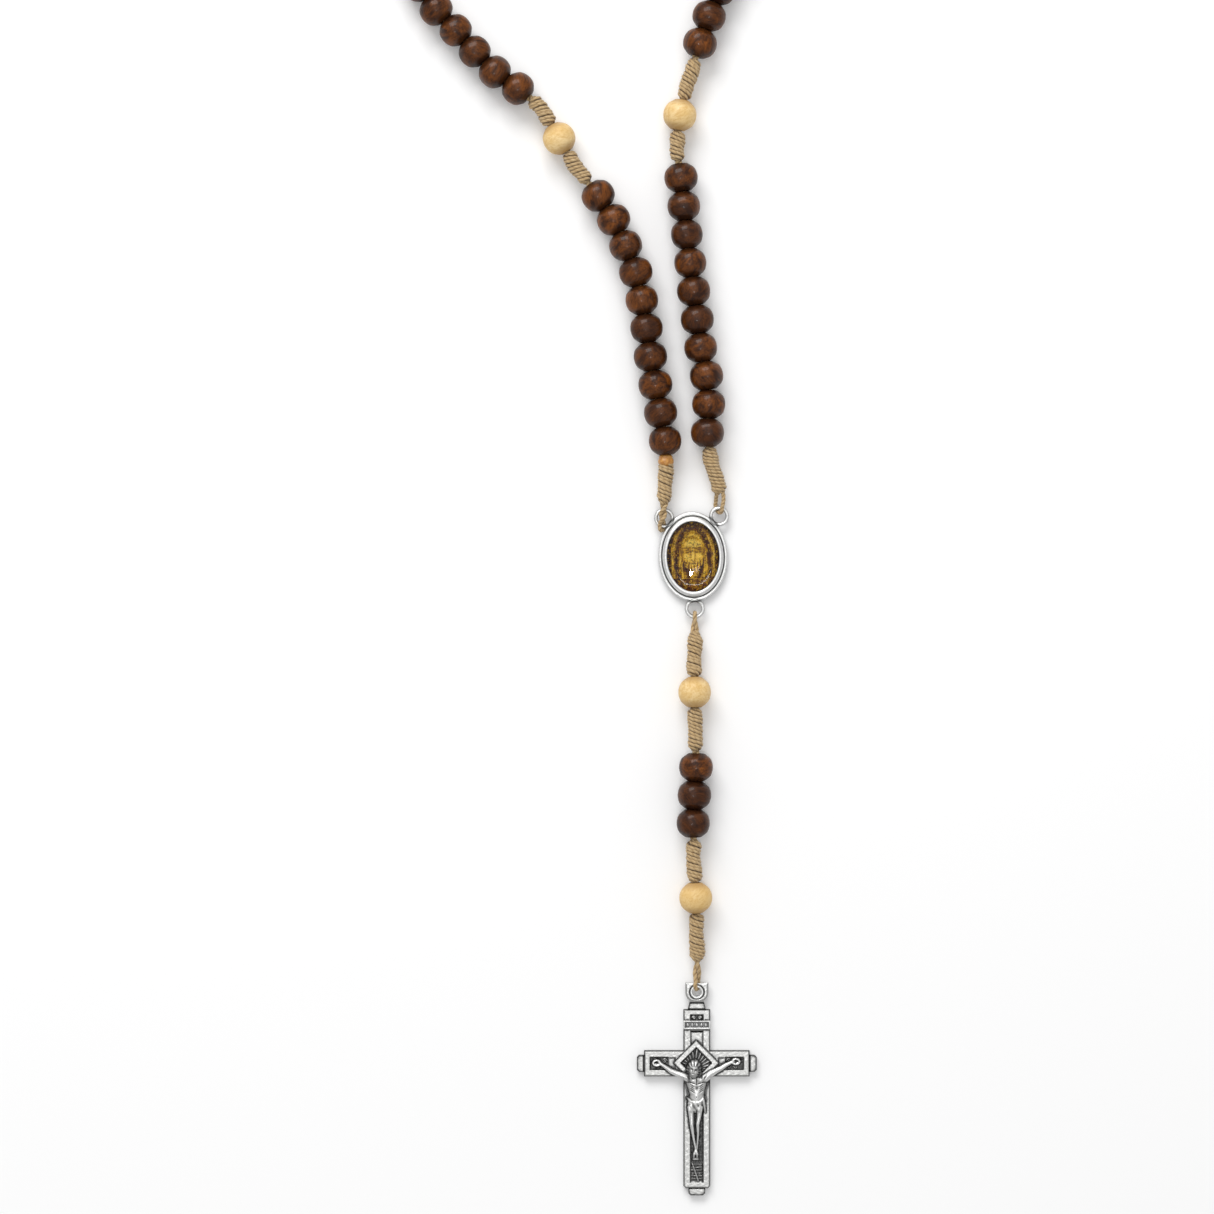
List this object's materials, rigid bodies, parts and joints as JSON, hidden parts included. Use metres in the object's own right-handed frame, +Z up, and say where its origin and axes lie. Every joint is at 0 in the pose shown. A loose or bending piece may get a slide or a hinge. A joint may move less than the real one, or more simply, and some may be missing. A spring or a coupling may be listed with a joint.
{
  "type": "rosary",
  "caption": "Prayer-bead loop of round wooden beads on knotted twisted cord, with an oval centre medal and a short beaded drop ending in a cast metal crucifix.",
  "frame": {"origin": "middle of the medal's flat back, on the surface that the rosary lies on", "axes": "+Z up out of the surface, +Y from the medal up the loop, -Y down the drop to the crucifix, +X to the right seen from above"},
  "size_m": [0.0853, 0.3198, 0.007],
  "materials": {
    "brown_wood": "dark stained wood, waxed to a satin gloss",
    "light_wood": "pale honey wood with darker streaks, satin",
    "cord": "twisted tan twine",
    "silver": "cast metal plated in antique silver, dark in the recesses",
    "print": "printed oval picture in golden brown",
    "dome": "clear glossy resin"
  },
  "bodies": {
    "centerpiece": {"medal_frame": "silver", "medal_picture": "print", "medal_dome": "dome"},
    "loop_lower": {"left_lower_cord": "cord", "right_lower_cord": "cord"},
    "loop_middle": {"left_middle_cord": "cord", "right_middle_cord": "cord"},
    "loop_upper": {"upper_cord": "cord", "decade_3_string": "brown_wood", "decade_4_string": "brown_wood"},
    "pendant_eye": {"pendant_eye_cord": "cord"},
    "pendant_upper": {"pendant_upper_cord": "cord"},
    "pendant_middle": {"pendant_middle_cord": "cord"},
    "pendant_lower": {"pendant_lower_cord": "cord"},
    "crucifix_eye": {"crucifix_eye_cord": "cord"},
    "cross": {"crucifix": "silver"},
    "decade_1_bead_01_body": {"decade_1_bead_01": "brown_wood"},
    "decade_1_bead_02_body": {"decade_1_bead_02": "brown_wood"},
    "decade_1_bead_03_body": {"decade_1_bead_03": "brown_wood"},
    "decade_1_bead_04_body": {"decade_1_bead_04": "brown_wood"},
    "decade_1_bead_05_body": {"decade_1_bead_05": "brown_wood"},
    "decade_1_bead_06_body": {"decade_1_bead_06": "brown_wood"},
    "decade_1_bead_07_body": {"decade_1_bead_07": "brown_wood"},
    "decade_1_bead_08_body": {"decade_1_bead_08": "brown_wood"},
    "decade_1_bead_09_body": {"decade_1_bead_09": "brown_wood"},
    "decade_1_bead_10_body": {"decade_1_bead_10": "brown_wood"},
    "pater_bead_1_body": {"pater_bead_1": "light_wood"},
    "decade_2_bead_01_body": {"decade_2_bead_01": "brown_wood"},
    "decade_2_bead_02_body": {"decade_2_bead_02": "brown_wood"},
    "decade_2_bead_03_body": {"decade_2_bead_03": "brown_wood"},
    "decade_2_bead_04_body": {"decade_2_bead_04": "brown_wood"},
    "decade_2_bead_05_body": {"decade_2_bead_05": "brown_wood"},
    "decade_2_bead_06_body": {"decade_2_bead_06": "brown_wood"},
    "decade_2_bead_07_body": {"decade_2_bead_07": "brown_wood"},
    "decade_2_bead_08_body": {"decade_2_bead_08": "brown_wood"},
    "decade_2_bead_09_body": {"decade_2_bead_09": "brown_wood"},
    "decade_2_bead_10_body": {"decade_2_bead_10": "brown_wood"},
    "decade_4_bead_05_body": {"decade_4_bead_05": "brown_wood"},
    "decade_4_bead_04_body": {"decade_4_bead_04": "brown_wood"},
    "decade_4_bead_03_body": {"decade_4_bead_03": "brown_wood"},
    "decade_4_bead_02_body": {"decade_4_bead_02": "brown_wood"},
    "decade_4_bead_01_body": {"decade_4_bead_01": "brown_wood"},
    "pater_bead_4_body": {"pater_bead_4": "light_wood"},
    "decade_5_bead_10_body": {"decade_5_bead_10": "brown_wood"},
    "decade_5_bead_09_body": {"decade_5_bead_09": "brown_wood"},
    "decade_5_bead_08_body": {"decade_5_bead_08": "brown_wood"},
    "decade_5_bead_07_body": {"decade_5_bead_07": "brown_wood"},
    "decade_5_bead_06_body": {"decade_5_bead_06": "brown_wood"},
    "decade_5_bead_05_body": {"decade_5_bead_05": "brown_wood"},
    "decade_5_bead_04_body": {"decade_5_bead_04": "brown_wood"},
    "decade_5_bead_03_body": {"decade_5_bead_03": "brown_wood"},
    "decade_5_bead_02_body": {"decade_5_bead_02": "brown_wood"},
    "decade_5_bead_01_body": {"decade_5_bead_01": "brown_wood"},
    "pater_bead_2_body": {"pater_bead_2": "light_wood"},
    "pater_bead_3_body": {"pater_bead_3": "light_wood"},
    "pendant_pater_bead_1_body": {"pendant_pater_bead_1": "light_wood"},
    "pendant_bead_1_body": {"pendant_bead_1": "brown_wood"},
    "pendant_bead_2_body": {"pendant_bead_2": "brown_wood"},
    "pendant_bead_3_body": {"pendant_bead_3": "brown_wood"},
    "pendant_pater_bead_2_body": {"pendant_pater_bead_2": "light_wood"}
  },
  "joints": [
    {"name": "crucifix_lift", "type": "hinge", "parent": "crucifix_eye", "child": "cross", "pos_m": [0.0008, -0.08962, 0.00145], "axis": [1, 0, 0], "range_deg": [-90, 90]},
    {"name": "crucifix_swing", "type": "hinge", "parent": "pendant_lower", "child": "crucifix_eye", "pos_m": [0.0009, -0.0846, 0.0019], "axis": [0, 0, 1], "range_deg": [-30, 30]},
    {"name": "loop_fold_lower", "type": "hinge", "parent": "loop_lower", "child": "loop_middle", "pos_m": [-0.02157, 0.07775, 0.0035], "axis": [0.9745, 0.2243, 0], "range_deg": [-30, 30]},
    {"name": "loop_fold_upper", "type": "hinge", "parent": "loop_middle", "child": "loop_upper", "pos_m": [-0.03426, 0.09583, 0.0035], "axis": [0.9714, 0.2374, 0], "range_deg": [-30, 30]},
    {"name": "loop_lift", "type": "hinge", "parent": "centerpiece", "child": "loop_lower", "pos_m": [-0.00654, 0.00639, 0.00145], "axis": [0.9551, 0.2964, 0], "range_deg": [0, 85]},
    {"name": "pendant_bend_lower", "type": "hinge", "parent": "pendant_middle", "child": "pendant_lower", "pos_m": [-0.00001, -0.05867, 0.0035], "axis": [0, 0, 1], "range_deg": [-25, 25]},
    {"name": "pendant_bend_upper", "type": "hinge", "parent": "pendant_upper", "child": "pendant_middle", "pos_m": [0.00066, -0.04103, 0.0035], "axis": [0, 0, 1], "range_deg": [-25, 25]},
    {"name": "pendant_lift", "type": "hinge", "parent": "centerpiece", "child": "pendant_eye", "pos_m": [0.00038, -0.01262, 0.00145], "axis": [1, 0, 0], "range_deg": [-90, 90]},
    {"name": "pendant_swing", "type": "hinge", "parent": "pendant_eye", "child": "pendant_upper", "pos_m": [0.00035, -0.0155, 0.0019], "axis": [0, 0, 1], "range_deg": [-35, 35]},
    {"name": "turn_decade_1_bead_01", "type": "hinge", "parent": "loop_lower", "child": "decade_1_bead_01_body", "pos_m": [-0.00583, 0.02414, 0.00349], "axis": [-0.0551, 0.9984, 0.0086], "continuous": true},
    {"name": "turn_decade_1_bead_02", "type": "hinge", "parent": "loop_lower", "child": "decade_1_bead_02_body", "pos_m": [-0.00683, 0.03, 0.00351], "axis": [-0.2315, 0.9728, -0.003], "continuous": true},
    {"name": "turn_decade_1_bead_03", "type": "hinge", "parent": "loop_lower", "child": "decade_1_bead_03_body", "pos_m": [-0.00799, 0.03585, 0.0035], "axis": [-0.1695, 0.9855, 0], "continuous": true},
    {"name": "turn_decade_1_bead_04", "type": "hinge", "parent": "loop_lower", "child": "decade_1_bead_04_body", "pos_m": [-0.00895, 0.04173, 0.0035], "axis": [-0.156, 0.9878, 0], "continuous": true},
    {"name": "turn_decade_1_bead_05", "type": "hinge", "parent": "loop_lower", "child": "decade_1_bead_05_body", "pos_m": [-0.00981, 0.04762, 0.0035], "axis": [-0.1416, 0.9899, 0], "continuous": true},
    {"name": "turn_decade_1_bead_06", "type": "hinge", "parent": "loop_lower", "child": "decade_1_bead_06_body", "pos_m": [-0.01074, 0.05351, 0.0035], "axis": [-0.1805, 0.9836, 0], "continuous": true},
    {"name": "turn_decade_1_bead_07", "type": "hinge", "parent": "loop_lower", "child": "decade_1_bead_07_body", "pos_m": [-0.01201, 0.05933, 0.0035], "axis": [-0.2804, 0.9599, 0], "continuous": true},
    {"name": "turn_decade_1_bead_08", "type": "hinge", "parent": "loop_lower", "child": "decade_1_bead_08_body", "pos_m": [-0.01407, 0.06492, 0.0035], "axis": [-0.3895, 0.921, 0], "continuous": true},
    {"name": "turn_decade_1_bead_09", "type": "hinge", "parent": "loop_lower", "child": "decade_1_bead_09_body", "pos_m": [-0.01664, 0.07029, 0.0035], "axis": [-0.4868, 0.8735, 0], "continuous": true},
    {"name": "turn_decade_1_bead_10", "type": "hinge", "parent": "loop_lower", "child": "decade_1_bead_10_body", "pos_m": [-0.01986, 0.0753, 0.0035], "axis": [-0.5734, 0.8193, 0], "continuous": true},
    {"name": "turn_pater_bead_1", "type": "hinge", "parent": "loop_middle", "child": "pater_bead_1_body", "pos_m": [-0.02801, 0.08725, 0.0035], "axis": [-0.5175, 0.8557, 0], "continuous": true},
    {"name": "turn_decade_2_bead_01", "type": "hinge", "parent": "loop_upper", "child": "decade_2_bead_01_body", "pos_m": [-0.03659, 0.09769, 0.0035], "axis": [-0.7802, 0.6255, 0], "continuous": true},
    {"name": "turn_decade_2_bead_02", "type": "hinge", "parent": "loop_upper", "child": "decade_2_bead_02_body", "pos_m": [-0.04144, 0.10115, 0.0035], "axis": [-0.7545, 0.6563, 0], "continuous": true},
    {"name": "turn_decade_2_bead_03", "type": "hinge", "parent": "loop_upper", "child": "decade_2_bead_03_body", "pos_m": [-0.04558, 0.10542, 0.0035], "axis": [-0.6655, 0.7464, 0], "continuous": true},
    {"name": "turn_decade_2_bead_04", "type": "hinge", "parent": "loop_upper", "child": "decade_2_bead_04_body", "pos_m": [-0.04956, 0.10987, 0.0035], "axis": [-0.6882, 0.7255, 0], "continuous": true},
    {"name": "turn_decade_2_bead_05", "type": "hinge", "parent": "loop_upper", "child": "decade_2_bead_05_body", "pos_m": [-0.05368, 0.11417, 0.0035], "axis": [-0.6123, 0.7906, 0], "continuous": true},
    {"name": "turn_decade_2_bead_06", "type": "hinge", "parent": "loop_upper", "child": "decade_2_bead_06_body", "pos_m": [-0.05697, 0.11912, 0.0035], "axis": [-0.5073, 0.8618, 0], "continuous": true},
    {"name": "turn_decade_2_bead_07", "type": "hinge", "parent": "loop_upper", "child": "decade_2_bead_07_body", "pos_m": [-0.05965, 0.12441, 0.0035], "axis": [-0.3875, 0.9219, 0], "continuous": true},
    {"name": "turn_decade_2_bead_08", "type": "hinge", "parent": "loop_upper", "child": "decade_2_bead_08_body", "pos_m": [-0.06161, 0.13001, 0.0035], "axis": [-0.2864, 0.9581, 0], "continuous": true},
    {"name": "turn_decade_2_bead_09", "type": "hinge", "parent": "loop_upper", "child": "decade_2_bead_09_body", "pos_m": [-0.06301, 0.13578, 0.0035], "axis": [-0.1766, 0.9843, 0], "continuous": true},
    {"name": "turn_decade_2_bead_10", "type": "hinge", "parent": "loop_upper", "child": "decade_2_bead_10_body", "pos_m": [-0.0636, 0.14169, 0.0035], "axis": [-0.0113, 0.9999, 0], "continuous": true},
    {"name": "turn_decade_4_bead_05", "type": "hinge", "parent": "loop_upper", "child": "decade_4_bead_05_body", "pos_m": [0.0112, 0.12877, 0.0035], "axis": [-0.3842, -0.9233, 0], "continuous": true},
    {"name": "turn_decade_4_bead_04", "type": "hinge", "parent": "loop_upper", "child": "decade_4_bead_04_body", "pos_m": [0.00841, 0.12353, 0.0035], "axis": [-0.5171, -0.8559, 0], "continuous": true},
    {"name": "turn_decade_4_bead_03", "type": "hinge", "parent": "loop_upper", "child": "decade_4_bead_03_body", "pos_m": [0.00551, 0.11834, 0.0035], "axis": [-0.4195, -0.9078, 0], "continuous": true},
    {"name": "turn_decade_4_bead_02", "type": "hinge", "parent": "loop_upper", "child": "decade_4_bead_02_body", "pos_m": [0.00331, 0.1128, 0.0035], "axis": [-0.3349, -0.9423, 0], "continuous": true},
    {"name": "turn_decade_4_bead_01", "type": "hinge", "parent": "loop_upper", "child": "decade_4_bead_01_body", "pos_m": [0.00141, 0.10715, 0.0035], "axis": [-0.3101, -0.9507, 0], "continuous": true},
    {"name": "turn_pater_bead_4", "type": "hinge", "parent": "loop_middle", "child": "pater_bead_4_body", "pos_m": [-0.0028, 0.09216, 0.0035], "axis": [-0.1884, -0.9821, 0], "continuous": true},
    {"name": "turn_decade_5_bead_10", "type": "hinge", "parent": "loop_lower", "child": "decade_5_bead_10_body", "pos_m": [-0.00256, 0.07908, 0.0035], "axis": [0.1289, -0.9917, 0], "continuous": true},
    {"name": "turn_decade_5_bead_09", "type": "hinge", "parent": "loop_lower", "child": "decade_5_bead_09_body", "pos_m": [-0.00196, 0.07315, 0.0035], "axis": [0.092, -0.9958, 0], "continuous": true},
    {"name": "turn_decade_5_bead_08", "type": "hinge", "parent": "loop_lower", "child": "decade_5_bead_08_body", "pos_m": [-0.00138, 0.06722, 0.0035], "axis": [0.108, -0.9941, 0], "continuous": true},
    {"name": "turn_decade_5_bead_07", "type": "hinge", "parent": "loop_lower", "child": "decade_5_bead_07_body", "pos_m": [-0.00066, 0.0613, 0.0035], "axis": [0.13, -0.9915, 0], "continuous": true},
    {"name": "turn_decade_5_bead_06", "type": "hinge", "parent": "loop_lower", "child": "decade_5_bead_06_body", "pos_m": [0.00012, 0.05539, 0.0035], "axis": [0.1281, -0.9918, 0], "continuous": true},
    {"name": "turn_decade_5_bead_05", "type": "hinge", "parent": "loop_lower", "child": "decade_5_bead_05_body", "pos_m": [0.00085, 0.04948, 0.0035], "axis": [0.1196, -0.9928, 0], "continuous": true},
    {"name": "turn_decade_5_bead_04", "type": "hinge", "parent": "loop_lower", "child": "decade_5_bead_04_body", "pos_m": [0.00162, 0.04357, 0.0035], "axis": [0.1448, -0.9895, 0], "continuous": true},
    {"name": "turn_decade_5_bead_03", "type": "hinge", "parent": "loop_lower", "child": "decade_5_bead_03_body", "pos_m": [0.00274, 0.03772, 0.0035], "axis": [0.1904, -0.9817, 0], "continuous": true},
    {"name": "turn_decade_5_bead_02", "type": "hinge", "parent": "loop_lower", "child": "decade_5_bead_02_body", "pos_m": [0.00324, 0.03179, 0.00354], "axis": [-0.0357, -0.9991, 0.0232], "continuous": true},
    {"name": "turn_decade_5_bead_01", "type": "hinge", "parent": "loop_lower", "child": "decade_5_bead_01_body", "pos_m": [0.00299, 0.02584, 0.00359], "axis": [0.0158, -0.9995, -0.028], "continuous": true},
    {"name": "turn_pater_bead_2", "type": "hinge", "parent": "loop_upper", "child": "pater_bead_2_body", "pos_m": [-0.06142, 0.15569, 0.0035], "axis": [0.302, 0.9533, 0], "continuous": true},
    {"name": "turn_pater_bead_3", "type": "hinge", "parent": "loop_upper", "child": "pater_bead_3_body", "pos_m": [0.0048, 0.16951, 0.0035], "axis": [0.6702, -0.7422, 0], "continuous": true},
    {"name": "turn_pendant_pater_bead_1", "type": "hinge", "parent": "pendant_upper", "child": "pendant_pater_bead_1_body", "pos_m": [0.0003, -0.02834, 0.0036], "axis": [0.0065, -0.9982, 0.06], "continuous": true},
    {"name": "turn_pendant_bead_1", "type": "hinge", "parent": "pendant_middle", "child": "pendant_bead_1_body", "pos_m": [0.0006, -0.04401, 0.0035], "axis": [-0.0217, -0.9998, 0], "continuous": true},
    {"name": "turn_pendant_bead_2", "type": "hinge", "parent": "pendant_middle", "child": "pendant_bead_2_body", "pos_m": [0.0002, -0.04984, 0.0035], "axis": [-0.0508, -0.9987, 0], "continuous": true},
    {"name": "turn_pendant_bead_3", "type": "hinge", "parent": "pendant_middle", "child": "pendant_bead_3_body", "pos_m": [0, -0.05569, 0.0035], "axis": [-0.0034, -1, 0], "continuous": true},
    {"name": "turn_pendant_pater_bead_2", "type": "hinge", "parent": "pendant_lower", "child": "pendant_pater_bead_2_body", "pos_m": [0.00051, -0.07126, 0.00349], "axis": [0.0395, -0.9975, -0.0594], "continuous": true}
  ]
}
